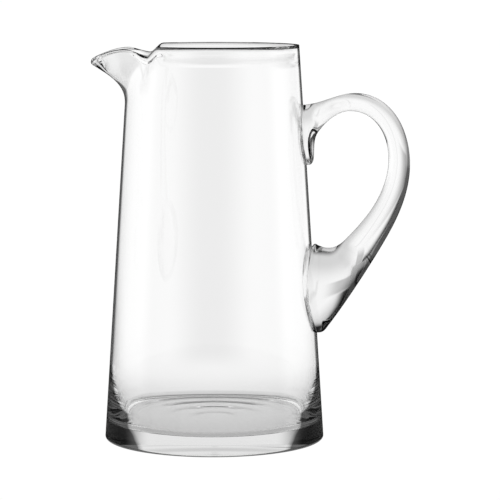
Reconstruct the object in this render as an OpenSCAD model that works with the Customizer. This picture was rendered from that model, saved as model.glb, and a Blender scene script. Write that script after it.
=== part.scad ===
// Glass cocktail pitcher: a blown, tapered vessel with a thick base and a pulled pouring lip,
// and a solid loop handle laid on hot at an upper and a lower seat.
// Z is up and is the vessel's axis, and Z = 0 is the table. The lip points to -X, the handle to +X.

/* [Vessel] */
// Height from the table to the plain rim
body_h = 235; // [215:1:270]
// Outer diameter where the wall runs down to the table
foot_d = 131; // [125:1:145]
// Outer diameter at the plain rim
rim_d = 101; // [92:1:115]
// Thickness of the wall at the neck and the rim
wall_t = 1.6; // [1.4:0.1:3]
// Thickness of the wall just above the bowl
low_t = 2.4; // [1.8:0.1:3.4]
// Thickness of the solid base
base_t = 10; // [8:0.2:16]
// Radius of the bowl, on which the wall comes in towards the floor
bowl_r = 110; // [80:1:140]
// Angle through which the bowl turns
bowl_turn = 17; // [12:0.5:20]
// Rounding of the corner between the bowl and the floor
corner_r = 6; // [4:0.5:9]
// Rounding of the foot's outer edge
heel_r = 1.8; // [0.8:0.1:3]

/* [Pouring lip] */
// Depth below the rim where the wall starts to turn out
lip_depth = 35; // [30:0.5:42]
// How far the tip stands out past the plain rim
lip_reach = 22.6; // [15:0.2:28]
// Slope of the channel at the tip, above level
tip_slope = 32; // [20:1:45]
// How far the tip lies below the rim
tip_drop = 9.8; // [5:0.2:14]
// Angle from the middle of the lip to the crest at each side
crest_a = 21; // [16:0.5:25]
// How far the crest lies below the rim
crest_drop = 2; // [0.5:0.1:4]
// Angle from the middle of the lip to the pinch at each side
pinch_a = 37.5; // [32:0.5:42]
// How far the rim dips at the pinch
pinch_drop = 4.7; // [2:0.1:7]
// How far the pinch is pressed inwards
pinch_in = 1.6; // [0:0.1:2.5]
// Angle from the pinch up to the plain rim
shoulder_a = 13; // [10:0.5:17]

/* [Handle loop] */
// Depth of the crown below the rim
crown_depth = 28.5; // [24:0.5:36]
// Distance of the crown from the wall
crown_out = 31; // [27:0.5:36]
// Thickness of the strap at the crown
crown_t = 10.6; // [8:0.2:13]
// Distance from the wall to the fullest point
reach = 61.3; // [55:0.1:70]
// Depth of the fullest point below the crown
reach_depth = 43; // [38:0.5:48]
// Thickness of the strap at the fullest point
grip_t = 12.6; // [10:0.2:16]
// Distance from the wall to the outside of the knee
knee_out = 40; // [36:0.5:46]
// Depth of the knee below the crown
knee_depth = 93.5; // [89:0.5:98]
// Thickness of the leg at the knee
knee_t = 20; // [16:0.5:23]
// Width of the strap
strap_w = 15; // [12:0.5:22]
// Width of the leg at the knee
knee_w = 20; // [16:0.5:26]
// Share by which the strap is narrower along its outer edge and wider along its inner one
edge_taper = 0.3; // [0:0.05:0.4]

/* [Handle seats] */
// Depth of the upper seat's top edge below the crown
seat_top = 7; // [5:0.5:9]
// Depth of the tail's lower end below the crown
tail_end = 42.5; // [38:0.5:47]
// How far the tail stands off the wall
tail_t = 5.4; // [4:0.1:6.5]
// Depth of the fork where the strap leaves the tail, below the crown
fork_depth = 23; // [20:0.5:26]
// Width of the upper seat
upper_seat_w = 27; // [22:0.5:34]
// Depth of the lower seat's top edge below the crown
foot_top = 91.5; // [88:0.5:95]
// Depth of the lower seat's bottom edge below the crown
foot_end = 143; // [134:0.5:150]
// Width of the lower seat
lower_seat_w = 43; // [34:0.5:50]
// How far the lower seat's toe stands off the wall
toe_t = 5.3; // [4:0.1:7]
// How far the lower seat's brow stands off the wall
brow_t = 2.8; // [2:0.1:4]
// How far the hot handle presses the wall inwards behind a seat
seat_swell = 2; // [0.5:0.1:3]

/* [Hidden] */
$fn = 144;
glass_colour = [0.86, 0.91, 0.92, 0.4];

// The wall as a straight line in a half section of radius and height
foot_r = foot_d / 2;
rim_r = rim_d / 2;
lean = atan((foot_r - rim_r) / body_h);
out_dir = [cos(lean), sin(lean)];
up_dir = [-sin(lean), cos(lean)];
function wall_r(z) = foot_r - (foot_r - rim_r) * z / body_h;
function lay(p, along, out) = p + along * up_dir + out * out_dir;

// Inside of the vessel: the bowl is an arc that touches the wall, the corner one that touches bowl and floor
bowl_end = heading(lean - bowl_turn);
bowl_z = base_t + corner_r * (1 + bowl_end[1]) + bowl_r * (out_dir[1] - bowl_end[1]);
bowl_top = [wall_r(bowl_z) - low_t / cos(lean), bowl_z];
bowl_mid = bowl_top - bowl_r * out_dir;
bowl_foot = bowl_mid + bowl_r * bowl_end;
corner_mid = bowl_foot - corner_r * bowl_end;

// Heel: an arc that touches the table and the wall
heel_mid = [(foot_r * cos(lean) - heel_r - heel_r * sin(lean)) / cos(lean), heel_r];

// Lip: the turned part is a ring of meridian curves that is let into the wall by a hair at its foot
lip_z = body_h - lip_depth;
function inner_r(z) = wall_r(z) - mix(low_t, wall_t, (z - bowl_z) / (lip_z - bowl_z)) / cos(lean);
lip_tuck = 2;
outer_tuck = 0.03;
inner_tuck = 0.1;
half_t = wall_t / 2;
lip_steps = 10;
cap_steps = 4;
lip_arc = pinch_a + shoulder_a + 4.5;
lip_fine = 44;
lip_coarse = 44;
lip_angles = concat(
    [for (i = [0 : lip_fine - 1]) -lip_arc + 2 * lip_arc * i / lip_fine],
    [for (i = [0 : lip_coarse - 1]) lip_arc + (360 - 2 * lip_arc) * i / lip_coarse]
);
// Roundness of the tip in plan, pulls of the meridian curve, and width of the pinch
tip_round = 5;
wall_pull = 12.5;
tip_pull = 12;
pinch_width = 7;

function mix(a, b, t) = a + (b - a) * t;
function ease(t) = (1 - cos(180 * min(max(t, 0), 1))) / 2;
function bezier(p, t) =
    pow(1 - t, 3) * p[0] + 3 * t * pow(1 - t, 2) * p[1] + 3 * t * t * (1 - t) * p[2] + pow(t, 3) * p[3];
function bezier_dir(p, t) =
    let(d = pow(1 - t, 2) * (p[1] - p[0]) + 2 * t * (1 - t) * (p[2] - p[1]) + t * t * (p[3] - p[2]))
    d / norm(d);

// How much of the lip's reach is left at an angle from its middle: 1 at the tip, 0 from the pinch on
function soft_angle(a) = sqrt(a * a + tip_round * tip_round) - tip_round;
function lip_share(a) = pow(max(0, 1 - soft_angle(a) / soft_angle(pinch_a)), 2);
function rim_drop(a) =
    a < crest_a ? mix(tip_drop, crest_drop, ease(0.5 + a / crest_a / 2) * 2 - 1)
    : a < pinch_a ? mix(crest_drop, pinch_drop, ease((a - crest_a) / (pinch_a - crest_a)))
    : mix(pinch_drop, 0, ease((a - pinch_a) / shoulder_a));
function pinch(a) = pinch_in * exp(-pow((a - pinch_a) / pinch_width, 2));

// Middle line of the wall at one angle, from the start of the lip to the rounding of the rim
function meridian(a) =
    let(
        start = lay([foot_r, 0], lip_z / cos(lean), -half_t),
        slope = mix(90 + lean, tip_slope, pow(lip_share(a), 0.6)),
        edge = [
            rim_r - half_t + lip_reach * lip_share(a) - pinch(a),
            body_h - rim_drop(a) - half_t
        ]
    )
    [start, start + wall_pull * up_dir, edge - tip_pull * [cos(slope), sin(slope)], edge];

// Closed section of the lip at one angle: up the outside, over the rounded rim, down the inside
function lip_section(a) =
    let(
        m = meridian(abs(a)),
        mid = [for (i = [0 : lip_steps]) bezier(m, i / lip_steps)],
        dir = [for (i = [0 : lip_steps]) bezier_dir(m, i / lip_steps)],
        side = [for (d = dir) half_t * [d[1], -d[0]]],
        foot = m[0] - lip_tuck * up_dir,
        outer_in = outer_tuck * out_dir,
        inner_in = inner_tuck * out_dir
    )
    concat(
        [foot + side[0] - outer_in],
        [for (i = [0 : lip_steps]) mid[i] + side[i] - (i == 0 ? outer_in : [0, 0])],
        [for (i = [1 : cap_steps - 1])
            let(q = 180 * i / cap_steps)
            mid[lip_steps] + side[lip_steps] * cos(q) + half_t * dir[lip_steps] * sin(q)],
        [for (i = [lip_steps : -1 : 0]) mid[i] - side[i] + (i == 0 ? inner_in : [0, 0])],
        [foot - side[0] + inner_in]
    );

// Handle: two rails, outer and inner, each a chain of nodes in distance from the wall and depth
// below the crown. A node is its place, its heading (0 leaves the wall, 90 goes down) and its pulls.
crown_z = body_h - crown_depth;
root_out = 9;
root_rise = 1.5;
seat_tuck = 1.5;
// How far the inner rail's nodes lie behind the outer ones, and the rounding at the seats' edges
fork_step = 2.6;
crown_lag = 3.4;
reach_lag = 4;
knee_lag = 6;
toe_round = 2.2;
brow_round = 1.5;
outer_rail = [
    [[0, seat_top], -8, 0, 3],
    [[root_out, seat_top - root_rise], -16, 3, 7],
    [[crown_out, 0], 0, 7, 21.5],
    [[reach, reach_depth], 94, 22, 19],
    [[knee_out, knee_depth], 123.5, 18, 22],
    [[toe_t, foot_end - toe_round], 129.5, 16, 2.5],
    [[0, foot_end], 180, 2, 0]
];
inner_rail = [
    [[0, tail_end], 10, 0, 1.4 * tail_t],
    [[tail_t + fork_step, fork_depth], -52, 9, 11],
    [[crown_out - crown_lag, crown_t], 0, 5.5, 14],
    [[reach - grip_t, reach_depth - reach_lag], 93.5, 15.5, 20],
    [[knee_out - knee_t, knee_depth - knee_lag], 137, 19, 6],
    [[brow_t, foot_top - brow_round], 212, 8.5, 1.5],
    [[0, foot_top], 150, 1, 0]
];
half_widths = [
    upper_seat_w / 2,
    (upper_seat_w + strap_w) / 4,
    strap_w / 2,
    strap_w / 2,
    knee_w / 2,
    lower_seat_w / 2,
    lower_seat_w / 2
];
span_steps = [8, 6, 8, 8, 9, 4];
ring_steps = 26;
// Squareness of the strap's oval section: 2 is an ellipse
oval = 2;
// Distance from the wall over which the strap stops following the wall's roundness
wrap_out = 18;

function heading(h) = [cos(h), sin(h)];
function span(rail, i, t) =
    let(p = rail[i], q = rail[i + 1])
    bezier([p[0], p[0] + p[3] * heading(p[1]), q[0] - q[2] * heading(q[1]), q[0]], t);
function oval_pow(c) = sign(c) * pow(abs(c), 2 / oval);
function wrap(out) = 1 - ease(out / wrap_out);
// The taper of the outer edge sets in past half of that distance
function taper(out) = edge_taper * ease(out / wrap_out - 0.5);

// A point from its distance from the wall, its depth below the crown and its distance off the middle
function on_wall(out, depth, off) =
    let(z = crown_z - depth, r = wall_r(z))
    [r + out - wrap(out) * (r - sqrt(r * r - off * off)), off, z];

// One oval ring between a point of each rail
function strap_ring(a, b, half_w) =
    [for (k = [0 : ring_steps - 1])
        let(
            q = 360 * k / ring_steps,
            p = (a + b) / 2 + (a - b) / 2 * oval_pow(cos(q))
        )
        on_wall(p[0], p[1], half_w * oval_pow(sin(q)) * (1 - taper(p[0]) * cos(q)))];
function seat_ring(i) =
    strap_ring(outer_rail[i][0] - [seat_tuck, 0], inner_rail[i][0] - [seat_tuck, 0], half_widths[i]);

// Rings from inside the wall at the upper seat, round the loop, to inside the wall at the lower seat
last_span = len(span_steps) - 1;
strap_rings = concat(
    [seat_ring(0)],
    [for (i = [0 : last_span])
        for (j = [(i == 0 ? 1 : 0) : span_steps[i] - 1])
            let(t = j / span_steps[i])
            strap_ring(span(outer_rail, i, t), span(inner_rail, i, t),
                mix(half_widths[i], half_widths[i + 1], ease(t)))],
    [seat_ring(last_span + 1)]
);

// Triangles that join one ring of points to the next
function join_rings(a, b, count) =
    [for (k = [0 : count - 1])
        let(n = (k + 1) % count)
        each [[a + k, b + k, b + n], [a + k, b + n, a + n]]];

// Solid cone of the vessel's outside, up to a height
module outside(top) {
    rotate_extrude() {
        polygon([[0, 0], [heel_mid[0], 0], lay(heel_mid, 0, heel_r), [wall_r(top), top], [0, top]]);
        translate(heel_mid) circle(heel_r);
    }
}

// Space inside the vessel, up to a height
module inside(top) {
    rotate_extrude() {
        polygon([[0, base_t], [corner_mid[0], base_t], bowl_foot, bowl_top, [inner_r(top), top], [0, top]]);
        translate(corner_mid) circle(corner_r);
        intersection() {
            translate(bowl_mid) circle(bowl_r);
            polygon([bowl_foot, lay(bowl_foot, 0, bowl_r), lay(bowl_top, 0, bowl_r), bowl_top]);
        }
    }
}

// Low dome on the inner wall behind a seat, between two depths below the crown
module swell(top, end) {
    z = crown_z - (top + end) / 2;
    dome_r = pow((end - top) / 2, 2) / (2 * seat_swell);
    peak = inner_r(z) - seat_swell;
    translate([peak + dome_r, 0, z]) sphere(dome_r);
}

// Turned ring of glass that carries the pouring lip and the rounded rim
module lip_ring() {
    sections = [for (a = lip_angles) lip_section(a)];
    count = len(sections[0]);
    turns = len(lip_angles);
    points = [for (i = [0 : turns - 1]) for (p = sections[i])
        [-p[0] * cos(lip_angles[i]), p[0] * sin(lip_angles[i]), p[1]]];
    faces = [for (i = [0 : turns - 1]) each join_rings(i * count, (i + 1) % turns * count, count)];
    polyhedron(points, faces);
}

// Blown vessel: thick base, tapered wall, pulled lip
module body() {
    color(glass_colour) {
        difference() {
            outside(lip_z);
            difference() {
                inside(lip_z + 1);
                swell(seat_top, tail_end);
                swell(foot_top, foot_end);
            }
        }
        lip_ring();
    }
}

// Applied loop handle, cut to the round of the wall at both seats
module handle() {
    points = [for (r = strap_rings) each r];
    rings = len(strap_rings);
    last = (rings - 1) * ring_steps;
    faces = concat(
        [[for (k = [ring_steps - 1 : -1 : 0]) k]],
        [for (i = [0 : rings - 2]) each join_rings(i * ring_steps, (i + 1) * ring_steps, ring_steps)],
        [[for (k = [0 : ring_steps - 1]) last + k]]
    );
    color(glass_colour) difference() {
        polyhedron(points, faces);
        outside(body_h);
    }
}

body();
handle();
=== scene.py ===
import math

import bpy
import numpy as np
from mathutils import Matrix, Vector


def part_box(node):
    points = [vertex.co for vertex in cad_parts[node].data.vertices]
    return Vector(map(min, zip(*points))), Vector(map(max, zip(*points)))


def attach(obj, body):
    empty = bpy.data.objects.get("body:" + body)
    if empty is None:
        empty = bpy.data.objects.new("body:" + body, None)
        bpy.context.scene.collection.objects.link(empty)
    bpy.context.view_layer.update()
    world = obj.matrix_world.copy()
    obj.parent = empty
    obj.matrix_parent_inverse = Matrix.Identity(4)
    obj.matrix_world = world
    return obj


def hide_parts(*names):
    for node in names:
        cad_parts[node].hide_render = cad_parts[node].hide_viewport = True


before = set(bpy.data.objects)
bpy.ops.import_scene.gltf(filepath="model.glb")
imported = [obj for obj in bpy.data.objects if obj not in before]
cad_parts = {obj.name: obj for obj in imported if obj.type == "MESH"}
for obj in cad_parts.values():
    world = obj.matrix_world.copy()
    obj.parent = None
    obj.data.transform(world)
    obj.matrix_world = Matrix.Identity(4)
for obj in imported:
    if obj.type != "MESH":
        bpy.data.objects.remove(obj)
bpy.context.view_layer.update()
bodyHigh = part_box("body")[1]

# Curve helpers: every function takes and gives whole arrays


def mix(a, b, t):  # straight blend from a to b
    return a + (b - a) * t


def ease(t):  # half a cosine wave, from 0 at t = 0 to 1 at t = 1, flat outside
    return (1 - np.cos(np.pi * np.clip(t, 0, 1))) / 2


def cubic(p0, p1, p2, p3, t):  # cubic Bezier curve: four points weighted by the cubic Bernstein terms in t
    t = t[..., None]
    return (1 - t) ** 3 * p0 + 3 * t * (1 - t) ** 2 * p1 + 3 * t * t * (1 - t) * p2 + t ** 3 * p3


def cubicHeading(p0, p1, p2, p3, t):  # unit tangent of the same curve
    t = t[..., None]
    d = (1 - t) ** 2 * (p1 - p0) + 2 * t * (1 - t) * (p2 - p1) + t * t * (p3 - p2)
    return d / np.linalg.norm(d, axis=-1, keepdims=True)


def arcPoints(middle, radius, start, stop, count):  # part of a circle, angles in radians
    q = np.linspace(start, stop, count)
    return np.stack([middle[0] + radius * np.cos(q), middle[1] + radius * np.sin(q)], -1)


def ringFaces(rows, cols):  # quads of a grid whose columns close on themselves
    i, j = np.meshgrid(np.arange(rows - 1), np.arange(cols), indexing="ij")
    n = (j + 1) % cols
    return np.stack([i * cols + j, i * cols + n, (i + 1) * cols + n, (i + 1) * cols + j], -1).reshape(-1, 4)


def fanFaces(pole, first, cols, turned):  # triangles from a pole to the ring that starts at index first
    j = np.arange(cols)
    n = (j + 1) % cols
    pair = (first + n, first + j) if turned else (first + j, first + n)
    return np.stack([np.full(cols, pole), *pair], -1)


def makePiece(name, points, quads, triangles, uv, materials, faceSlots, paintedShadeShare):
    # Smooth mesh from whole arrays: a UV and a share of painted edge shade for each point, a material for each
    # face
    mesh = bpy.data.meshes.new(name)
    mesh.from_pydata(points.tolist(), [], quads.tolist() + triangles.tolist())
    mesh.polygons.foreach_set("use_smooth", np.ones(len(mesh.polygons), bool))
    mesh.polygons.foreach_set("material_index", faceSlots.astype(np.int32))
    layer = mesh.uv_layers.new(name="alongAndAround")
    corner = np.empty(len(mesh.loops), np.int32)
    mesh.loops.foreach_get("vertex_index", corner)
    layer.data.foreach_set("uv", uv[corner].astype(np.float32).ravel())
    skin = mesh.attributes.new("paintedShadeShare", "FLOAT", "POINT")
    skin.data.foreach_set("value", paintedShadeShare.astype(np.float32))
    for material in materials:
        mesh.materials.append(material)
    mesh.update()
    piece = bpy.data.objects.new(name, mesh)
    bpy.context.scene.collection.objects.link(piece)
    print("piece:", name, len(points), "points", len(quads) * 2 + len(triangles), "triangles")
    return piece


# Materials: clear blown glass for each piece with painted shade at its edges, and a clear joint where the two are
# one glass

glassLook = dict(
    tint=(0.985, 0.985, 0.985, 1),
    # The dark colours here are painted shade: the glass colour turns to them seen edge on, for dark edge lines
    paintedEdgeShade=(0.015, 0.015, 0.015, 1),
    edgeStart=0.05,      # how far from facing the eye the painted shade on the handle starts
    edgeSpan=0.31,
    paintedWallShade=(0.03, 0.03, 0.03, 1),
    wallSpan=0.05,
    # On the vessel the painted shade starts where the inside ends: heights in metres and the start there, sooner
    # in thick glass
    wallStart=((0.003, 0.25), (0.0095, 0.30), (0.0135, 0.36), (0.0212, 0.37), (0.0233, 0.46),
               (0.0296, 0.59), (0.0388, 0.71), (0.047, 0.73), (0.2, 0.75)),
    ior=1.5,
    density=1.8,         # light lost per metre of glass
    rippleSize=26,       # ripples per metre on the vessel
    rippleDepth=0.0006,
    rippleStrength=0.004,
    rippleDetail=1.5, rippleRough=0.35,
    streakAcross=90,     # drawn streaks per metre across the strap
    streakAlong=9,       # and along it
    streakDepth=0.0005,
    streakStrength=0.003,
    streakDetail=2,
)


def wallEdge(tree, past, rim):  # the start of the painted shade as a ramp over the height, on Object coordinates
    place = tree.nodes.new("ShaderNodeTexCoord")
    split = tree.nodes.new("ShaderNodeSeparateXYZ")
    start = tree.nodes.new("ShaderNodeValToRGB")
    share = tree.nodes.new("ShaderNodeMath")
    share.operation = "DIVIDE"
    share.inputs[1].default_value = bodyHigh.z
    stops = start.color_ramp.elements
    stops.remove(stops[1])
    for height, level in glassLook["wallStart"]:
        stop = stops.new(height / bodyHigh.z)
        stop.color = (level, level, level, 1)
    stops[0].color = stops[1].color
    rim.color_ramp.elements[1].position = glassLook["wallSpan"]
    rim.color_ramp.elements[1].color = glassLook["paintedWallShade"]
    tree.links.new(place.outputs["Object"], split.inputs[0])
    tree.links.new(split.outputs["Z"], share.inputs[0])
    tree.links.new(share.outputs["Value"], start.inputs["Fac"])
    tree.links.new(start.outputs["Color"], past.inputs[1])


def plainGlass(name, tint, ior):  # a clear refracting skin round glass that takes a little light per metre
    material = bpy.data.materials.new(name)
    material.use_nodes = True
    tree = material.node_tree
    shader = tree.nodes["Principled BSDF"]
    shader.inputs["Base Color"].default_value = tint
    shader.inputs["Roughness"].default_value = 0
    shader.inputs["IOR"].default_value = ior
    shader.inputs["Transmission Weight"].default_value = 1
    loss = tree.nodes.new("ShaderNodeVolumeAbsorption")
    loss.inputs["Color"].default_value = (0, 0, 0, 1)
    loss.inputs["Density"].default_value = glassLook["density"]
    tree.links.new(loss.outputs["Volume"], tree.nodes["Material Output"].inputs["Volume"])
    return material


def blownGlass(name, ripples, wall):
    # Painted shade: the glass colour darkens seen edge on; the facing share times the outer skin's share, less a
    # start, sets it
    material = plainGlass(name, glassLook["tint"], glassLook["ior"])
    tree = material.node_tree
    shader = tree.nodes["Principled BSDF"]
    facing = tree.nodes.new("ShaderNodeLayerWeight")
    facing.inputs["Blend"].default_value = 0.5
    skin = tree.nodes.new("ShaderNodeAttribute")
    skin.attribute_name = "paintedShadeShare"
    seen = tree.nodes.new("ShaderNodeMath")
    seen.operation = "MULTIPLY"
    past = tree.nodes.new("ShaderNodeMath")
    past.operation = "SUBTRACT"
    past.inputs[1].default_value = glassLook["edgeStart"]
    rim = tree.nodes.new("ShaderNodeValToRGB")
    rim.color_ramp.elements[1].position = glassLook["edgeSpan"]
    rim.color_ramp.elements[0].color = glassLook["tint"]
    rim.color_ramp.elements[1].color = glassLook["paintedEdgeShade"]
    tree.links.new(facing.outputs["Facing"], seen.inputs[0])
    tree.links.new(skin.outputs["Fac"], seen.inputs[1])
    tree.links.new(seen.outputs["Value"], past.inputs[0])
    tree.links.new(past.outputs["Value"], rim.inputs["Fac"])
    tree.links.new(rim.outputs["Color"], shader.inputs["Base Color"])
    if wall:
        wallEdge(tree, past, rim)
    ripples(tree, shader)
    return material


def blownRipples(tree, shader):  # faint unevenness of a blown wall, on Object coordinates
    place = tree.nodes.new("ShaderNodeTexCoord")
    noise = tree.nodes.new("ShaderNodeTexNoise")
    noise.inputs["Scale"].default_value = glassLook["rippleSize"]
    noise.inputs["Detail"].default_value = glassLook["rippleDetail"]
    noise.inputs["Roughness"].default_value = glassLook["rippleRough"]
    bump = tree.nodes.new("ShaderNodeBump")
    bump.inputs["Strength"].default_value = glassLook["rippleStrength"]
    bump.inputs["Distance"].default_value = glassLook["rippleDepth"]
    tree.links.new(place.outputs["Object"], noise.inputs["Vector"])
    tree.links.new(noise.outputs["Fac"], bump.inputs["Height"])
    tree.links.new(bump.outputs["Normal"], shader.inputs["Normal"])


def drawnStreaks(tree, shader):  # long streaks left where the handle was drawn out, on the piece's own UV map
    place = tree.nodes.new("ShaderNodeUVMap")
    place.uv_map = "alongAndAround"
    stretch = tree.nodes.new("ShaderNodeMapping")
    stretch.inputs["Scale"].default_value = (glassLook["streakAlong"], glassLook["streakAcross"], 1)
    noise = tree.nodes.new("ShaderNodeTexNoise")
    noise.inputs["Scale"].default_value = 1
    noise.inputs["Detail"].default_value = glassLook["streakDetail"]
    bump = tree.nodes.new("ShaderNodeBump")
    bump.inputs["Strength"].default_value = glassLook["streakStrength"]
    bump.inputs["Distance"].default_value = glassLook["streakDepth"]
    tree.links.new(place.outputs["UV"], stretch.inputs["Vector"])
    tree.links.new(stretch.outputs["Vector"], noise.inputs["Vector"])
    tree.links.new(noise.outputs["Fac"], bump.inputs["Height"])
    tree.links.new(bump.outputs["Normal"], shader.inputs["Normal"])


vesselGlass = blownGlass("vesselGlass", blownRipples, True)
handleGlass = blownGlass("handleGlass", drawnStreaks, False)
jointGlass = plainGlass("jointGlass", (1, 1, 1, 1), 1)  # light goes straight on where handle and wall have melted
print("materials:", [m.name for m in bpy.data.materials])

# Vessel: thick base, tapered wall, pulled lip, all sizes in metres

vessel = dict(
    height=bodyHigh.z,
    footR=0.0655,        # where the straight wall runs down to the table
    rimR=0.0505,
    wallT=0.0016,        # from the neck up
    wallLow=0.0024,      # and just above the bowl
    baseT=0.0100,
    bowlR=0.110,         # the wall comes in on this radius,
    bowlTurn=17,         # by this many degrees,
    cornerR=0.006,       # and then turns into the floor on this one
    poleR=0.004,         # the first ring of points round the axis
    ring=0.00020,        # faint rings in the floor, strongest at the back,
    ringBack=0.6, ringStep=0.017,
    ringIn=0.008,        # fading in over this,
    ringEnd=0.0515,      # up to this radius,
    ringOut=0.006,       # and out over this
    heelR=0.0018,
    swell=0.002,         # how far the wall is pressed in behind a seat
    swellFall=1.2,
    rimBead=0.0012,      # how much the rim thickens inwards
    rimCorner=0.0003,
    rimFall=0.0045,      # radius on which the rim falls away inwards
    seatLow=0.060, seatHigh=0.118, neckLow=0.160,  # the rows lie close behind the lower seat and from the neck up
    outerStep=0.0012, innerStep=0.002, rowGap=0.001,
    outerBelow=14, outerAbove=10, innerBelow=4, innerAbove=9,  # wider rows below that seat and above it
    underRows=12, heelRows=9, bowlRows=20, cornerRows=20, floorRows=36,
    # Angles from the lip's middle, in degrees, and how many columns lie between them
    columns=((-58, -12, 44), (-12, 12, 40), (12, 58, 44), (58, 150, 60), (150, 210, 52), (210, 302, 60)),
)
lip = dict(
    depth=0.035,
    reach=0.0226,
    tipSlope=32,         # degrees above level,
    slopeHold=0.6,       # carried farther round the smaller this power is
    tipDrop=0.0098,
    crestAngle=21,
    crestDrop=0.002,
    pinchAngle=39,
    pinchDrop=0.0050,
    pinchIn=0.0007,
    pinchWidth=7,
    shoulderAngle=13,
    tipRound=5,          # degrees
    wallPull=0.0125,
    tipPull=0.012,
    beadSpan=0.35,       # share of the lip, back from its edge, over which the inside thickens
    edgeBead=0.0002,     # how much the edge thickens between tip and pinch,
    knob=0.0020,         # and at the tip,
    knobAngle=9,         # within these degrees
    rows=28, cornerRows=6, fallRows=9,
    bareFrom=0.375,      # from this share of its rows up the lip loses its painted edge shade,
    bareAngle=25, bareSpan=20,  # within these degrees and less over the next ones,
    underShade=0.16,     # and below that it has this much more painted shade,
    underAngle=15, underSpan=25,  # within these and less over the next
)
seats = dict(
    crownDepth=0.0285,
    upperTop=0.007, upperEnd=0.0425, upperHalf=0.0135, upperSwell=0.0125,
    lowerTop=0.0915, lowerEnd=0.143, lowerHalf=0.0215, lowerSwell=0.0150,
    oval=2.0,
)
crownZ = vessel["height"] - seats["crownDepth"]
lean = math.atan((vessel["footR"] - vessel["rimR"]) / vessel["height"])
outDir = np.array([math.cos(lean), math.sin(lean)])
upDir = np.array([-math.sin(lean), math.cos(lean)])
lipZ = vessel["height"] - lip["depth"]
bowlEnd = lean - math.radians(vessel["bowlTurn"])
cornerTop = vessel["baseT"] + vessel["cornerR"] * (1 + math.sin(bowlEnd))
bowlTop = cornerTop + vessel["bowlR"] * (math.sin(lean) - math.sin(bowlEnd))


def wallR(z):  # outer radius of the straight wall at a height
    return mix(vessel["footR"], vessel["rimR"], z / vessel["height"])


def innerR(z):  # inner radius of the wall, which thins evenly from the bowl to the start of the lip
    thick = mix(vessel["wallLow"], vessel["wallT"], (z - bowlTop) / (lipZ - bowlTop))
    return wallR(z) - thick / math.cos(lean)


def lipEdge(a):
    # Share of the reach left at angle a (degrees from the lip's middle): squared fall from 1 at the tip to 0 at
    # the pinch, softened at the tip. The rim's drop eases from tip to crest to pinch to the plain rim.
    soft = np.sqrt(a * a + lip["tipRound"] ** 2) - lip["tipRound"]
    softPinch = math.hypot(lip["pinchAngle"], lip["tipRound"]) - lip["tipRound"]
    share = np.clip(1 - soft / softPinch, 0, 1) ** 2
    toCrest = mix(lip["tipDrop"], lip["crestDrop"], ease(0.5 + a / lip["crestAngle"] / 2) * 2 - 1)
    toPinch = mix(lip["crestDrop"], lip["pinchDrop"],
                  ease((a - lip["crestAngle"]) / (lip["pinchAngle"] - lip["crestAngle"])))
    toRim = mix(lip["pinchDrop"], 0, ease((a - lip["pinchAngle"]) / lip["shoulderAngle"]))
    drop = np.where(a < lip["crestAngle"], toCrest, np.where(a < lip["pinchAngle"], toPinch, toRim))
    pinch = lip["pinchIn"] * np.exp(-((a - lip["pinchAngle"]) / lip["pinchWidth"]) ** 2)
    return share, drop, pinch


def lipRows(a):
    # Each angle has a cubic curve for the middle of the wall, from the straight wall to the rim's edge. The
    # outside and the inside lie half a wall to either side, and the inside thickens a little towards the rim.
    half = vessel["wallT"] / 2
    share, drop, pinch = lipEdge(a)
    start = np.array([vessel["footR"], 0]) + upDir * lipZ / math.cos(lean) - half * outDir
    slope = np.radians(mix(90 + math.degrees(lean), lip["tipSlope"], share ** lip["slopeHold"]))
    edgeR = vessel["rimR"] - half + lip["reach"] * share - pinch
    edge = np.stack([edgeR, vessel["height"] - drop - half], -1)
    pull = lip["tipPull"] * np.stack([np.cos(slope), np.sin(slope)], -1)
    curve = (start, start + lip["wallPull"] * upDir, edge - pull, edge)
    speed = 3 * lip["tipPull"]  # a cubic arrives at three times its last pull

    def offset(across, past):  # point at a distance across the wall and past the edge, or short of it if negative
        t = 1 + np.minimum(past, 0) / speed
        middle, along = cubic(*curve, t), cubicHeading(*curve, t)
        side = np.stack([along[..., 1], -along[..., 0]], -1)
        return middle + across[..., None] * side + np.maximum(past, 0)[..., None] * along

    # The plain rim's section is two arcs, a small one at the outer corner and a wide one that falls away inwards.
    # Round the lip it turns into a half circle as wide as the wall and its bead.
    bead = mix(lip["edgeBead"], vessel["rimBead"], ease((a - lip["pinchAngle"]) / lip["shoulderAngle"] - 0.5))
    bead = mix(lip["knob"], bead, ease(a / lip["knobAngle"]))
    dome = 1 - ease((a - lip["crestAngle"]) / lip["shoulderAngle"])
    corner, fall = vessel["rimCorner"], vessel["rimFall"]
    wide = half + vessel["rimBead"]
    turn = math.acos((fall + corner - half - wide) / (fall - corner))
    cornerMiddle = np.array([half - corner, half - corner])
    away = np.array([-math.cos(turn), math.sin(turn)])
    fallMiddle = cornerMiddle + (corner - fall) * away
    plain = np.concatenate([arcPoints(cornerMiddle, corner, 0, math.pi - turn, lip["cornerRows"]),
                            arcPoints(fallMiddle, fall, math.pi - turn, math.pi, lip["fallRows"])[1:]])
    arc = arcPoints((0, 0), 1, 0, math.pi, len(plain))[:, None]
    radius = half + bead / 2
    domed = np.stack([arc[..., 0] * radius - bead / 2, arc[..., 1] * radius + half - radius], -1)
    cap = mix(plain[:, None], domed, dome[:, None])
    beadStart = -speed * lip["beadSpan"]
    outerPast = np.linspace(-speed, cap[0, :, 1], lip["rows"])
    innerPast = np.linspace(cap[-1, :, 1], np.full(len(a), -speed), lip["rows"])[1:]
    innerAcross = -half - bead * ease((innerPast - beadStart) / (cap[-1, :, 1] - beadStart))
    outside = offset(np.full_like(outerPast, half), outerPast)
    return outside, offset(cap[..., 0], cap[..., 1]), offset(innerAcross, innerPast)


def seatHeight(z, seat):  # how far below a seat's middle, as a share of half the seat's length
    top, end = seats[seat + "Top"], seats[seat + "End"]
    return (crownZ - z - (top + end) / 2) / ((end - top) / 2)


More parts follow.
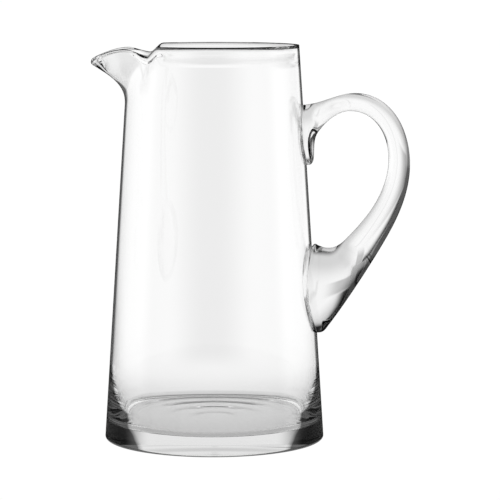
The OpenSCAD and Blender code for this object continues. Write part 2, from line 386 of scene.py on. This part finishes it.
def seatDepth(off, z, seat):
    # Below 1 inside a seat: the height share to the power of the oval plus the width share to the same power
    wide = np.abs(off / seats[seat + "Half"])
    return np.abs(seatHeight(z, seat)) ** seats["oval"] + wide ** seats["oval"]


def pressedWall(a, z):
    # Two low domes on the inner wall behind the seats: the depth falls with the squared distances up and round
    off = vessel["footR"] * np.radians(a)
    total = np.zeros_like(z)
    for seat in ("upper", "lower"):
        far = seatHeight(z, seat) ** 2 + (off / seats[seat + "Swell"]) ** 2
        total += np.clip(1 - far, 0, 1) ** vessel["swellFall"]
    return vessel["swell"] * total


def vesselProfile():
    # Half section as arcs and lines, from the middle of the underside up and from the lip down to the floor
    footOut = vessel["footR"] * math.cos(lean)
    heelIn = (footOut - vessel["heelR"] * (1 + math.sin(lean))) / math.cos(lean)
    heelMiddle = np.array([heelIn, vessel["heelR"]])
    bowlMiddle = np.array([innerR(bowlTop), bowlTop]) - vessel["bowlR"] * outDir
    endDir = np.array([math.cos(bowlEnd), math.sin(bowlEnd)])
    cornerMiddle = bowlMiddle + (vessel["bowlR"] - vessel["cornerR"]) * endDir
    underR = np.linspace(vessel["poleR"], heelIn, vessel["underRows"])
    under = np.stack([underR, np.zeros_like(underR)], -1)
    heel = arcPoints(heelMiddle, vessel["heelR"], -math.pi / 2, lean, vessel["heelRows"])[1:]
    low, high, neck = vessel["seatLow"], vessel["seatHigh"], vessel["neckLow"]
    gap, close, step = vessel["rowGap"], vessel["outerStep"], vessel["innerStep"]
    outZ = np.concatenate([np.linspace(heel[-1, 1], low, vessel["outerBelow"])[1:],
                           np.arange(low + gap, high, close),
                           np.linspace(high, neck, vessel["outerAbove"]),
                           np.arange(neck + gap, lipZ - gap / 2, close)])
    outer = np.stack([wallR(outZ), outZ], -1)
    inZ = np.concatenate([np.arange(lipZ - step, neck, -step),
                          np.linspace(neck - gap, high + step, vessel["innerAbove"]),
                          np.arange(high, low, -step),
                          np.linspace(low - step, bowlTop + 2 * step, vessel["innerBelow"])])
    inner = np.stack([innerR(inZ), inZ], -1)
    bowl = arcPoints(bowlMiddle, vessel["bowlR"], lean, bowlEnd, vessel["bowlRows"])
    corner = arcPoints(cornerMiddle, vessel["cornerR"], bowlEnd, -math.pi / 2, vessel["cornerRows"])[1:]
    floorR = np.linspace(cornerMiddle[0], vessel["poleR"], vessel["floorRows"] + 1)[1:]
    floor = np.stack([floorR, np.full_like(floorR, vessel["baseT"])], -1)
    return np.concatenate([under, heel, outer]), np.concatenate([inner, bowl, corner, floor])


def makeVessel():
    # Radius and height on a grid of profile rows and angle columns, turned about the axis, with a pole at each
    # end. The floor's rings are a cosine of the radius.
    a = np.concatenate([np.linspace(*span, endpoint=False) for span in vessel["columns"]])
    lipAngle = np.abs((a + 180) % 360 - 180)
    below, inside = (np.repeat(p[:, None], len(a), 1) for p in vesselProfile())
    lipOut, lipCap, lipIn = lipRows(lipAngle)
    rz = np.concatenate([below, lipOut, lipCap, lipIn, inside])
    innerStart = len(below) + len(lipOut) + len(lipCap)
    r, z = rz[..., 0], rz[..., 1]
    r[innerStart:] -= pressedWall(a[None, :] - 180, z[innerStart:])
    floorR = r[-vessel["floorRows"]:]
    back = ease(0.5 + vessel["ringBack"] * np.sin(np.radians(a)))
    hill = ease((floorR - vessel["poleR"]) / vessel["ringIn"])
    hill = hill * ease((vessel["ringEnd"] - floorR) / vessel["ringOut"])
    wave = np.cos(floorR / vessel["ringStep"] * 2 * np.pi)
    z[-vessel["floorRows"]:] += vessel["ring"] * back * hill * wave
    x, y = -r * np.cos(np.radians(a)), r * np.sin(np.radians(a))
    rows, cols = r.shape
    grid = np.stack([x, y, z], -1).reshape(-1, 3)
    points = np.concatenate([grid, [[0, 0, 0], [0, 0, vessel["baseT"]]]])
    quads = ringFaces(rows, cols)[:, ::-1]
    low = fanFaces(rows * cols, 0, cols, False)
    high = fanFaces(rows * cols + 1, (rows - 1) * cols, cols, True)
    along = np.repeat(np.arange(rows) / rows, cols)
    around = np.tile(a / 360, rows)
    uv = np.concatenate([np.stack([along, around], -1), [[0, 0], [1, 0]]])
    middle = points[quads].mean(1)
    outerFace = np.arange(len(quads)) // cols < len(below) - 1
    atHandle = outerFace & (middle[:, 0] > 0)
    upper, lower = (seatDepth(middle[:, 1], middle[:, 2], seat) < 1 for seat in ("upper", "lower"))
    slots = np.concatenate([(atHandle & (upper | lower)).astype(int), np.zeros(2 * cols, int)])
    # The painted edge shade lies on the outer skin, is lost towards the lip's edge, and swells by a half sine
    # wave below
    row = np.arange(rows)[:, None]
    upLip = np.clip((row - len(below)) / len(lipOut), 0, 1)
    bare = ease((upLip - lip["bareFrom"]) / (1 - lip["bareFrom"]))
    bare = bare * (1 - ease((lipAngle - lip["bareAngle"]) / lip["bareSpan"]))
    more = np.sin(np.pi * upLip) * (1 - ease((lipAngle - lip["underAngle"]) / lip["underSpan"]))
    skin = (1 - bare) * (row < innerStart) + lip["underShade"] * more
    skin = np.concatenate([skin.ravel(), [1, 0]])
    fans = np.concatenate([low, high])
    return makePiece("vessel", points, quads, fans, uv, [vesselGlass, jointGlass], slots, skin)


vesselPiece = makeVessel()
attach(vesselPiece, "root")
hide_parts("body")

# Handle: a strap between an outer and an inner rail, each a chain of nodes

strap = dict(
    crownOut=0.031, crownT=0.0106, crownLag=0.0034,
    reach=0.0613, reachDepth=0.043, gripT=0.0126, reachLag=0.004,
    kneeOut=0.040, kneeDepth=0.0935, kneeT=0.020, kneeLag=0.006,
    rootOut=0.009, rootRise=0.0015,
    tailT=0.0054, forkStep=0.0026, forkDepth=0.023,
    toeT=0.0053, toeRound=0.0022, browT=0.0028, browRound=0.0015,
    halfWidth=0.0075, kneeHalf=0.0100,
    egg=0.30,            # how much narrower the strap is along its outer edge
    wrapOut=0.018,       # distance over which the strap stops following the wall's roundness
    spanSteps=(26, 20, 28, 28, 30, 12),
    around=72,
    capSizes=(0.04, 0.25, 0.5, 0.75),  # rings of the cap inside a seat, as shares of its outline
    shade=((54, 0), (82, 1), (92, 1), (106, 0.95), (128, 0.55)),  # rows and how much painted shade darkens their outer edge,
    shadeRound=1.5,      # and how far that comes round from the edge
)


def railNodes():
    # A node is its distance from the wall, its depth below the crown, its heading in degrees (0 leaves the wall
    # and 90 goes down) and the pulls before and after it
    s = strap
    outer = np.array([
        (0, seats["upperTop"], -8, 0, 0.003),
        (s["rootOut"], seats["upperTop"] - s["rootRise"], -16, 0.003, 0.007),
        (s["crownOut"], 0, 0, 0.007, 0.0215),
        (s["reach"], s["reachDepth"], 94, 0.022, 0.019),
        (s["kneeOut"], s["kneeDepth"], 123.5, 0.018, 0.022),
        (s["toeT"], seats["lowerEnd"] - s["toeRound"], 129.5, 0.016, 0.0025),
        (0, seats["lowerEnd"], 180, 0.002, 0),
    ])
    inner = np.array([
        (0, seats["upperEnd"], 10, 0, 1.4 * s["tailT"]),
        (s["tailT"] + s["forkStep"], s["forkDepth"], -52, 0.009, 0.011),
        (s["crownOut"] - s["crownLag"], s["crownT"], 0, 0.0055, 0.014),
        (s["reach"] - s["gripT"], s["reachDepth"] - s["reachLag"], 93.5, 0.0155, 0.020),
        (s["kneeOut"] - s["kneeT"], s["kneeDepth"] - s["kneeLag"], 137, 0.019, 0.006),
        (s["browT"], seats["lowerTop"] - s["browRound"], 212, 0.0085, 0.0015),
        (0, seats["lowerTop"], 150, 0.001, 0),
    ])
    half = np.array([seats["upperHalf"], (seats["upperHalf"] + s["halfWidth"]) / 2, s["halfWidth"],
                     s["halfWidth"], s["kneeHalf"], seats["lowerHalf"], seats["lowerHalf"]])
    return outer, inner, half


def railCurve(nodes, span, t):  # cubic curve from node to node, with each pull laid along its node's heading
    turn = np.radians(nodes[:, 2])
    dirs = np.stack([np.cos(turn), np.sin(turn)], -1)
    p, q = nodes[span], nodes[span + 1]
    first, last = p[:, :2], q[:, :2]
    return cubic(first, first + p[:, 4:5] * dirs[span], last - q[:, 3:4] * dirs[span + 1], last, t)


def onWall(out, depth, off):
    # Point from its distance from the wall, its depth below the crown and its distance off the middle. Near the
    # wall the strap bends round with it: the wall's drop at that offset is taken off, less and less farther out.
    z = crownZ - depth
    r = wallR(z)
    drop = (1 - ease(out / strap["wrapOut"])) * (r - np.sqrt(r * r - off * off))
    return np.stack([r + out - drop, off, z], -1)


def oval(c):  # squared-off circle: sign of c times its size to the power two over the oval
    return np.sign(c) * np.abs(c) ** (2 / seats["oval"])


def makeHandle():
    # Oval ring at each step between matching points of the two rails, and a cap on the wall inside each seat
    outer, inner, half = railNodes()
    steps = strap["spanSteps"]
    span = np.concatenate([np.full(n, i) for i, n in enumerate(steps)] + [[len(steps) - 1]])
    t = np.concatenate([np.arange(n) / n for n in steps] + [[1.0]])
    a, b = railCurve(outer, span, t), railCurve(inner, span, t)
    wide = mix(half[span], half[span + 1], ease(t))
    q = np.arange(strap["around"]) * 2 * np.pi / strap["around"]
    shrink = np.array(strap["capSizes"])[:, None, None]
    capRows = len(shrink)

    def rings(a, b, wide, size):  # cosine of q between the rails and sine of q across, narrower at the outer edge
        p = (a + b)[:, None] / 2 + size * (a - b)[:, None] / 2 * oval(np.cos(q))[None, :, None]
        off = wide[:, None] * oval(np.sin(q)) * (size[..., 0] if np.ndim(size) else size)
        off = off * (1 - strap["egg"] * np.cos(q) * ease(p[..., 0] / strap["wrapOut"] - 0.5))
        return onWall(p[..., 0], p[..., 1], off)

    first = rings(*(np.repeat(v[:1], capRows, 0) for v in (a, b, wide)), shrink)
    last = rings(*(np.repeat(v[-1:], capRows, 0) for v in (a, b, wide)), shrink[::-1])
    grid = np.concatenate([first, rings(a, b, wide, 1.0), last])
    rows, cols = grid.shape[:2]
    ends = onWall(np.zeros(2), np.array([(a[0] + b[0])[1] / 2, (a[-1] + b[-1])[1] / 2]), np.zeros(2))
    points = np.concatenate([grid.reshape(-1, 3), ends])
    quads = ringFaces(rows, cols)[:, ::-1]
    low = fanFaces(rows * cols, 0, cols, False)
    high = fanFaces(rows * cols + 1, (rows - 1) * cols, cols, True)
    centre = grid.mean(1)
    travelled = np.concatenate([[0], np.cumsum(np.linalg.norm(np.diff(centre, axis=0), axis=1))])
    uv = np.stack([np.repeat(travelled, cols), np.tile(np.sin(q) * strap["halfWidth"], rows)], -1)
    uv = np.concatenate([uv, [[0, 0], [travelled[-1], 0]]])
    row = np.arange(len(quads)) // cols
    onSeat = (row < capRows) | (row >= rows - 1 - capRows)
    slots = np.concatenate([onSeat.astype(int), np.ones(2 * cols, int)])
    # Painted shade share of each point: most at the strap's outer edge, rising and falling along the listed rows
    skin = ease(np.cos(q) * strap["shadeRound"]) * np.interp(np.arange(rows), *zip(*strap["shade"]))[:, None]
    skin = np.concatenate([skin.ravel(), [0, 0]])
    fans = np.concatenate([low, high])
    return makePiece("loopHandle", points, quads, fans, uv, [handleGlass, jointGlass], slots, skin)


handlePiece = makeHandle()
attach(handlePiece, "root")
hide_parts("handle")

# Studio: a white sweep for the camera, and a field of soft windows that the glass bends and mirrors

studio = dict(
    floorR=6.0,
    sweepR=3.0,          # the floor rises into the backdrop on this radius
    wallHigh=8.0,
    white=1.02,
    fieldLight=1.02,
    underR=0.066,        # the table's shade below the base
    underGap=0.0004,
    underLight=0.5,
    poleR=0.0005,        # the open middle of each turned sheet
    flatRows=20, riseRows=24, sweepCols=96, underCols=72,
)
# Each window is a span of compass, in degrees from straight behind the pitcher with plus to the right, and a span
# of elevation, both as dark, bright, bright, dark, and its light
fieldDark = 0.03
fieldWindows = [
    ((-43, -24, 24, 43), (-64, -42, 28, 52), 0.7),  # behind the pitcher, from the table up
    ((-43, -24, 24, 43), (-32, -7, 28, 52), 0.3),  # and brighter towards the horizon
    ((-2.7, -1.1, -0.7, 0.8), (-14, -10, 2, 6), -0.13),  # a dimmer band behind the middle of the vessel
    ((-70, -42, -28, -6), (-9.5, -7.5, 1.5, 4.5), -0.42),  # and dimmer to the left of the middle
    ((-100, -75, -43, -24), (-21, -16, 3, 5.5), 0.95),  # to either side, at the height of the wall
    ((24, 43, 75, 100), (-21, -16, 3, 5.5), 0.95),
    ((-100, -72, -43, -24), (-64, -42, -21, -16), 0.75),  # the table to either side
    ((24, 43, 72, 100), (-64, -42, -21, -16), 0.75),
    ((-301, -300, -100, -72), (-64, -42, 28, 52), 0.85),  # and all of the side the photo is taken from
    ((72, 100, 300, 301), (-64, -42, 28, 52), 0.85),
]
mirrorWindows = [  # what the skin mirrors: a soft panel on either side
    ((-110, -90, -34, -24), (-7, -4, 5, 9), 0.9),
    ((24, 34, 90, 110), (-7, -4, 5, 9), 0.9),
]


def glowMaterial(name):  # even light, as strong as the mesh says
    material = bpy.data.materials.new(name)
    material.use_nodes = True
    tree = material.node_tree
    tree.nodes.clear()
    glow = tree.nodes.new("ShaderNodeEmission")
    glow.inputs["Color"].default_value = (1, 1, 1, 1)
    shade = tree.nodes.new("ShaderNodeAttribute")
    shade.attribute_name = "shade"
    tree.links.new(shade.outputs["Fac"], glow.inputs["Strength"])
    out = tree.nodes.new("ShaderNodeOutputMaterial")
    tree.links.new(glow.outputs["Emission"], out.inputs["Surface"])
    return material


def makeTurned(name, rz, cols, light):
    # Half section of radius and height carried round the axis, with one light all over
    a = np.arange(cols) * 2 * np.pi / cols
    grid = np.stack([rz[:, :1] * np.sin(a), rz[:, :1] * np.cos(a), rz[:, 1:] * np.ones(cols)], -1)
    mesh = bpy.data.meshes.new(name)
    mesh.from_pydata(grid.reshape(-1, 3).tolist(), [], ringFaces(len(rz), cols).tolist())
    shade = mesh.attributes.new("shade", "FLOAT", "POINT")
    shade.data.foreach_set("value", np.full(len(rz) * cols, light, np.float32))
    mesh.materials.append(glowMaterial(name + "Paper"))
    made = bpy.data.objects.new(name, mesh)
    bpy.context.scene.collection.objects.link(made)
    made.visible_diffuse = False
    made.visible_shadow = False
    return made


def makeSweep():  # flat floor, a quarter circle up, and a straight wall
    rise = arcPoints((studio["floorR"], studio["sweepR"]), studio["sweepR"], -np.pi / 2, 0, studio["riseRows"])
    flatR = np.linspace(studio["poleR"], studio["floorR"], studio["flatRows"])
    flat = np.stack([flatR, np.zeros_like(flatR)], -1)
    top = np.array([[studio["floorR"] + studio["sweepR"], studio["wallHigh"]]])
    section = np.concatenate([flat, rise[1:], top])
    sweep = makeTurned("whiteSweep", section, studio["sweepCols"], studio["white"])
    sweep.visible_transmission = False
    sweep.visible_glossy = False


def makeShade():  # a flat disc just below the base
    disc = np.array([[studio["poleR"], -studio["underGap"]], [studio["underR"], -studio["underGap"]]])
    under = makeTurned("underShade", disc, studio["underCols"], studio["underLight"])
    under.visible_camera = False


def makeField():
    # The light in a direction is the dark plus the windows, each its level times its two spans with smooth edges
    world = bpy.data.worlds.new("brightField")
    bpy.context.scene.world = world
    world.use_nodes = True
    tree = world.node_tree
    tree.nodes.clear()

    def node(kind, *sources, **settings):
        made = tree.nodes.new(kind)
        for name, value in settings.items():
            setattr(made, name, value)
        for socket, source in enumerate(sources):
            if isinstance(source, (int, float)):
                made.inputs[socket].default_value = source
            else:
                tree.links.new(source, made.inputs[socket])
        return made.outputs[0]

    place = tree.nodes.new("ShaderNodeTexCoord")
    split = tree.nodes.new("ShaderNodeSeparateXYZ")
    tree.links.new(place.outputs["Generated"], split.inputs[0])
    compass = node("ShaderNodeMath", split.outputs["X"], split.outputs["Y"], operation="ARCTAN2")
    height = node("ShaderNodeMath", split.outputs["Z"], operation="ARCSINE")

    def edge(angle, dark, bright):  # 0 at the dark angle, 1 at the bright one, in degrees
        return node("ShaderNodeMapRange", angle, math.radians(dark), math.radians(bright), 0, 1,
                    interpolation_type="SMOOTHSTEP")

    def lit(windows):
        light = fieldDark
        for across, up, level in windows:
            share = level
            for angle, (a, b, c, d) in ((compass, across), (height, up)):
                share = node("ShaderNodeMath", edge(angle, a, b), share, operation="MULTIPLY")
                share = node("ShaderNodeMath", edge(angle, d, c), share, operation="MULTIPLY")
            light = node("ShaderNodeMath", share, light, operation="ADD")
        return node("ShaderNodeMath", light, fieldDark, operation="MAXIMUM")

    mirrored = tree.nodes.new("ShaderNodeLightPath").outputs["Is Reflection Ray"]
    light = node("ShaderNodeMapRange", mirrored, 0, 1, lit(fieldWindows), lit(mirrorWindows))
    glow = tree.nodes.new("ShaderNodeBackground")
    tree.links.new(light, glow.inputs["Color"])
    glow.inputs["Strength"].default_value = studio["fieldLight"]
    out = tree.nodes.new("ShaderNodeOutputWorld")
    tree.links.new(glow.outputs[0], out.inputs[0])


makeSweep()
makeShade()
makeField()
print("studio: sweep, shade and bright field")

# Camera: long lens, a little above the pitcher, as in the photograph

view = dict(
    place=(0.02135, -1.5296, 0.2874),
    aim=(0.02135, 0, 0.113),
    lens=186,
    sensor=36,
    clip=(0.05, 60),
)


def makeCamera():  # looks from its place straight at the aim
    data = bpy.data.cameras.new("photoCamera")
    data.lens = view["lens"]
    data.sensor_width = view["sensor"]
    data.clip_start, data.clip_end = view["clip"]
    camera = bpy.data.objects.new("photoCamera", data)
    bpy.context.scene.collection.objects.link(camera)
    camera.location = view["place"]
    look = Vector(view["aim"]) - Vector(view["place"])
    camera.rotation_euler = look.to_track_quat("-Z", "Y").to_euler()
    bpy.context.scene.camera = camera


makeCamera()
scene = bpy.context.scene
scene.view_settings.view_transform = "Standard"
scene.view_settings.look = "None"
scene.cycles.max_bounces = 32
scene.cycles.min_light_bounces = 16  # no early end for dim paths, which would speckle the dark edges
scene.cycles.transmission_bounces = 32
scene.cycles.glossy_bounces = 16
scene.cycles.transparent_max_bounces = 16
scene.cycles.use_denoising = True
print("camera:", view["lens"], "mm lens")
